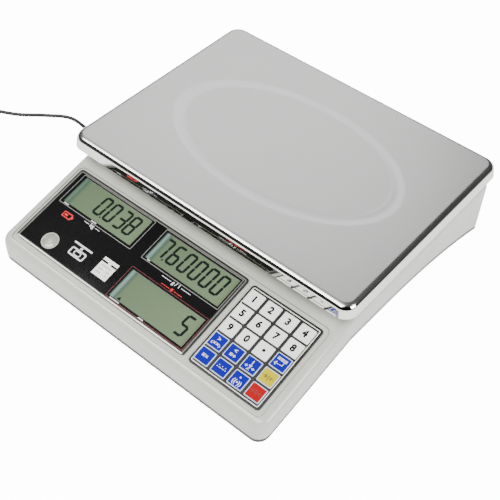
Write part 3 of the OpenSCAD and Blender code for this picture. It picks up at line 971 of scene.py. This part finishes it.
def addTurned(name, profile, vertices=48):
    # profile: radius and height from the bottom up, in mm, round the Z axis
    dropSelection()
    radius, height = profile[0]
    bpy.ops.mesh.primitive_circle_add(vertices=vertices, radius=radius * mm, fill_type="NGON",
                                      location=(0, 0, height * mm))
    piece = bpy.context.object
    piece.name = name
    bpy.ops.object.transform_apply(location=True, rotation=True, scale=True)
    pickAll(piece)
    for (r0, z0), (r1, z1) in zip(profile, profile[1:]):
        bpy.ops.mesh.extrude_region_move(TRANSFORM_OT_translate={"value": (0, 0, (z1 - z0) * mm)})
        bpy.ops.transform.resize(value=(r1 / r0, r1 / r0, 1), center_override=(0, 0, z1 * mm))
    bpy.ops.mesh.select_all(action="SELECT")
    bpy.ops.mesh.normals_make_consistent(inside=False)
    endEdit()
    return piece


def buildLevel():
    place = panelPlace @ shift(panel["levelAt"][0], panel["levelAt"][1], 0)
    r = display["levelRadius"]
    cup = addTurned("levelCup", [(r - 0.9, -7.5), (r - 0.9, 0.6), (r, 0.62), (r, 1.0), (r - 0.3, 1.2),
                                 (r - 1.5, 1.2), (r - 1.9, 0.8), (r - 1.9, -5.5)], 64)
    vial = addTurned("levelWindow", [(r - 1.95, -5.5), (r - 1.95, 0.5), (r - 2.2, 0.8), (r - 3.2, 1.0),
                                     (r - 5, 1.1), (0.6, 1.15)], 64)
    bubble = addTurned("levelBubble", [(2.4, 1.05), (2.5, 1.14), (2.1, 1.19), (1.2, 1.19), (0.3, 1.19)], 40)
    for piece in (cup, vial, bubble):
        movePiece(piece, place)
        smoothPiece(piece, 30)
    finishPiece(cup, "base", "level", ["level_cup"])
    finishPiece(vial, "base", "fluid", ["level_vial"])
    finishPiece(bubble, "base", "level")


buildLevel()
print("prints and level built")


# keypad: a black film frame and twenty caps with their marks

keypad = {
    "outer": (67, -0.8, 142.6, 86.6),
    "top": 0.8,
    "capTop": 1.2,
    "first": (77, 75),
    "pitch": (18.1, 16.1),
    "cap": (15.2, 14.2),
    "edge": 0.6,
    "keys": [
        ("key_1", "keyWhite", "1"), ("key_2", "keyWhite", "2"), ("key_3", "keyWhite", "3"),
        ("key_4", "keyWhite", "4"), ("key_5", "keyWhite", "5"), ("key_6", "keyWhite", "6"),
        ("key_7", "keyWhite", "7"), ("key_8", "keyWhite", "8"), ("key_9", "keyWhite", "9"),
        ("key_0", "keyWhite", "0"), ("key_point", "keyWhite", "•"),
        ("key_enter", "keyBlue", "≡≡≡\n←┘"),
        ("key_clear", "keyBlue", ">\n‹××›"), ("key_memory_add", "keyBlue", "<\n≡+"),
        ("key_unit_weight", "keyBlue", "1\n÷∑÷"), ("key_tare", "keyYellow", "→|←"),
        ("key_memory_clear", "keyBlue", "≡×"), ("key_sample", "keyBlue", "∴∴∴"),
        ("key_alarm", "keyBlue", "•\n((•))"), ("key_zero", "keyRed", "→0←"),
    ],
}
prints = {
    "keyWhite": "blackPrint",
    "keyBlue": "whitePrint",
    "keyYellow": "yellowPrint",
    "keyRed": "redKeyPrint",
}


def buildKeyFrame():
    x0, l0, x1, l1 = keypad["outer"]
    sheet = addPlate("keypadFilm", (x0, l0, -0.8), (x1, l1, keypad["top"]), 3, 0.2)
    wide, long = (v / 2 + 0.25 for v in keypad["cap"])
    holes = [addPlate("hole", (x - wide, l - long, -3), (x + wide, l + long, 3), 0.6, 0)
             for x, l in (keyPlace(i) for i in range(20))]
    cutAway(sheet, [joinPieces(holes, "holes")])
    layOnPanel(sheet, "keyFrame", ["keypad_frame"])
    line = addBorder("keypadLine", (x0 + 2, l0 + 2, x1 - 2, l1 - 2), 0.75,
                     keypad["top"] - 0.05, keypad["top"] + 0.05, 1.6)
    layOnPanel(line, "whiteLineAndGlint")


def keyPlace(i):
    return (keypad["first"][0] + i % 4 * keypad["pitch"][0], keypad["first"][1] - i // 4 * keypad["pitch"][1])


def makeCap(outlined):
    wide, long = (v / 2 for v in keypad["cap"])
    cap = addPlate("cap", (-wide, -long, -1.7), (wide, long, keypad["capTop"]), 1, 0.25, 4)
    flange = addPlate("flange", (-wide - 0.5, -long - 0.4, -1.7), (wide + 0.5, long + 0.4, -1.1), 1, 0)
    cap = joinPieces([cap, flange], "cap")
    if outlined:
        pickFaces(cap, lambda middle, normal: normal.z > 0.99 and middle.z > keypad["capTop"] - tiny)
        bpy.ops.mesh.inset(thickness=keypad["edge"] * mm)
        cap.data.materials.append(finishes["keyEdge"])
        cap.data.materials.append(finishes["keyBlue"])
        cap.active_material_index = 1
        bpy.ops.object.material_slot_assign()
        endEdit()
    return cap


def buildKeys():
    plain, outlined = makeCap(False), makeCap(True)
    for i, (node, finish, mark) in enumerate(keypad["keys"]):
        x, l = keyPlace(i)
        body = node + "_cap"
        hasEdge = finish != "keyWhite"
        cap = copyPiece(outlined if hasEdge else plain, node + "Piece", panelPlace @ shift(x, l, 0))
        if hasEdge:
            cap.data.materials[1] = finishes[finish]
            finishPiece(cap, body, None, [node])
        else:
            finishPiece(cap, body, finish, [node])
        big = finish == "keyWhite"
        rows = mark.split("\n")
        words = []
        for row, line in enumerate(rows):
            up = (len(rows) - 1) * 2.4 - row * 4.8
            words.append(addText("row", line, 8.8 if big else 5.6, (x, l + up), keypad["capTop"] + 0.02,
                                 0.42 if big else 0.12))
        sign = joinPieces(words, node + "Mark")
        movePiece(sign, panelPlace)
        finishPiece(sign, body, prints[finish])
    bpy.data.objects.remove(plain)
    bpy.data.objects.remove(outlined)


buildKeyFrame()
buildKeys()
print("keypad built")


# the lead's ends: plug with a ribbed strain relief, adaptor, and the tie round the coil

plug = {"at": (20, 38), "tip": 9.5, "ribs": 5, "firstRib": 24, "pitch": 3.4, "radius": 3.4, "taper": 0.12}
adaptor = {"long": 72, "high": 32, "corner": 5, "soften": 2.5, "faceAt": 26, "leadAt": 6}
tie = {"area": (-10.6, 0.1, 10.6, 8.7), "strap": 0.7, "wide": 10, "corner": 2.5, "turn": -50}


def buildPlug():
    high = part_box("barrel_plug")[1] / mm
    ribs = []
    for i in range(plug["ribs"]):
        z = plug["firstRib"] + i * plug["pitch"]
        r = plug["radius"] - i * plug["taper"]
        ribs += [(r, z), (r, z + 1.6), (r - 0.7, z + 1.9), (r - 0.75, z + 3.1)]
    profile = [(2.75, -plug["tip"]), (2.75, 0.02), (5.0, 0.05), (5.4, 0.8), (5.4, 3), (5.0, 3.6),
               (5.0, 14.4), (5.4, 15), (5.4, 18), (4.6, 21), (3.4, 22.4)] + ribs + [(2.5, 41.9)]
    piece = addTurned("barrelPlug", profile)
    outward = Matrix.Rotation(math.radians(-90), 4, "Y")
    movePiece(piece, shift(high.x - plug["tip"], *plug["at"]) @ outward)
    smoothPiece(piece)
    finishPiece(piece, "base", "plug", ["barrel_plug"])


def buildAdaptor():
    low, high = (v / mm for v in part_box("adaptor_case"))
    middle = (low.x + high.x) / 2
    back = low.y + adaptor["long"]
    case = addPlate("adaptorCase", (low.x, low.y, 0), (high.x, back, adaptor["high"]),
                    adaptor["corner"], adaptor["soften"], 6)
    pickEdges(case, lambda a, b, faces: a.z < tiny and b.z < tiny)
    bevelPicked(1.5, 3)
    face = addTurned("face", [(15, 30), (15, 34.4), (14.4, 35)], 64)
    movePiece(face, shift(middle, low.y + adaptor["faceAt"], 0))
    relief = addTurned("relief", [(4.4, -1), (4.4, 6), (3.7, 6.8), (3.9, 8), (3.5, 9.5), (3.6, 11),
                                  (3.2, 12.5), (3.3, 14), (2.9, 15.5), (3.0, 17), (2.6, 26)])
    movePiece(relief, shift(middle, back, adaptor["leadAt"]) @ Matrix.Rotation(math.radians(-90), 4, "X"))
    case = joinPieces([case, face, relief], "adaptorCase")
    smoothPiece(case)
    finishPiece(case, "base", "caseBlack", ["adaptor_case"])


def buildTie():
    # a soft strap round both layers of the coil
    x, y = lead["coilAt"]
    radius = (lead["inner"] + lead["outer"]) / 2
    strap = addBorder("coilTie", tie["area"], tie["strap"], -tie["wide"] / 2, tie["wide"] / 2, tie["corner"])
    around = Matrix.Rotation(math.radians(tie["turn"]), 4, "Z") @ shift(radius, 0, 0)
    movePiece(strap, shift(x, y, 0) @ around @ Matrix.Rotation(math.radians(90), 4, "X"))
    smoothPiece(strap)
    finishPiece(strap, "base", "mat")


buildPlug()
buildAdaptor()
buildTie()
print("plug and adaptor built")


# finishes for the CAD nodes that stay as they are

kept = {
    "base_tray": "tray", "battery_door": "tray", "housing_screws": "steelPart", "chassis_plate": "plateSteel",
    "cell_spacer_lower": "alloy", "load_cell": "alloy", "cell_bolts_lower": "steelPart",
    "overload_stops": "steelPart", "display_board": "board", "keypad_board": "board", "main_board": "board",
    "keypad_mat": "mat", "battery": "caseBlack", "switch_body": "switch", "switch_rocker": "switch",
    "dc_jack": "switch", "spider": "alloy", "spider_pads": "rubber", "cell_spacer_upper": "alloy",
    "cell_bolts_upper": "steelPart", "adaptor_pins": "nickel", "foot_front_left": "rubber",
    "foot_front_right": "rubber", "foot_rear_left": "rubber", "foot_rear_right": "rubber",
}
for node, finish in kept.items():
    dress(nodes[node], finish)
leadPiece.data.materials.append(finishes["pvc"])
print("kept nodes finished:", len(kept))


# pale floor, soft sky and three lamps, in metres

light = {
    "horizon": 1.7,
    "zenith": 0.8,
    "skyHeights": (0.1, 0.85),
    "behindCamera": 0.1,
    "cameraSide": 0.75,
    "darkSide": (-1.0, 0.1),
    "floorSeen": 12.0,
    "floorGlow": 0.7,
    "skySeen": 260,
}


def makeFloor():
    # pale floor that the eye sees as plain white, while it lights the object only a little
    material = bpy.data.materials.new("paleFloor")
    material.use_nodes = True
    tree = material.node_tree
    shader = tree.nodes["Principled BSDF"]
    shader.inputs["Base Color"].default_value = rgb(236, 236, 236)
    shader.inputs["Roughness"].default_value = 0.7
    shader.inputs["Specular IOR Level"].default_value = 0.2
    path = tree.nodes.new("ShaderNodeLightPath")
    seen = addMath(tree, "MULTIPLY", path.outputs["Is Camera Ray"], light["floorSeen"])
    glow = addMath(tree, "ADD", seen, light["floorGlow"])
    shader.inputs["Emission Color"].default_value = (1, 1, 1, 1)
    tree.links.new(glow, shader.inputs["Emission Strength"])
    return material


def addStage():
    dropSelection()
    bpy.ops.mesh.primitive_plane_add(size=8, location=(0, 0, -0.0005))
    floor = bpy.context.object
    floor.name = "floor"
    floor.data.materials.append(makeFloor())
    world = bpy.data.worlds.new("studio")
    world.use_nodes = True
    tree = world.node_tree
    back = tree.nodes["Background"]
    split = splitPlace(tree, tree.nodes.new("ShaderNodeTexCoord").outputs["Generated"])
    sky = addRange(tree, split["Z"], *light["skyHeights"], light["horizon"], light["zenith"])
    across = addMath(tree, "MULTIPLY", split["X"], light["cameraSide"])
    side = addMath(tree, "SUBTRACT", split["Y"], across)
    dark = addRange(tree, side, *light["darkSide"], light["behindCamera"], 1.0)
    both = addMath(tree, "MULTIPLY", sky, dark)
    path = tree.nodes.new("ShaderNodeLightPath")
    seen = addMath(tree, "MULTIPLY", path.outputs["Is Camera Ray"], light["skySeen"])
    tree.links.new(addMath(tree, "ADD", both, seen), back.inputs["Strength"])
    bpy.context.scene.world = world


def addLamp(name, place, target, size, power, colour=(1, 1, 1)):
    way = Vector(target) - Vector(place)
    bpy.ops.object.light_add(type="AREA", location=place)
    lamp = bpy.context.object
    lamp.name = name
    lamp.data.shape = "RECTANGLE"
    lamp.data.size, lamp.data.size_y = size
    lamp.data.energy = power
    lamp.data.color = colour
    lamp.rotation_mode = "QUATERNION"
    lamp.rotation_quaternion = way.to_track_quat("-Z", "Y")


addStage()
addLamp("backLight", (-1.2, 1.5, 1.6), (0, 0, 0.05), (1.7, 1.6), 20)
addLamp("frontLight", (-0.4, -1.0, 1.8), (0, 0, 0.05), (2.2, 1.0), 78, (1, 0.99, 0.96))
addLamp("sideLight", (2.0, 0.1, 1.1), (0, 0, 0.05), (1.1, 1.1), 55, (0.93, 1, 0.98))
print("stage lit")
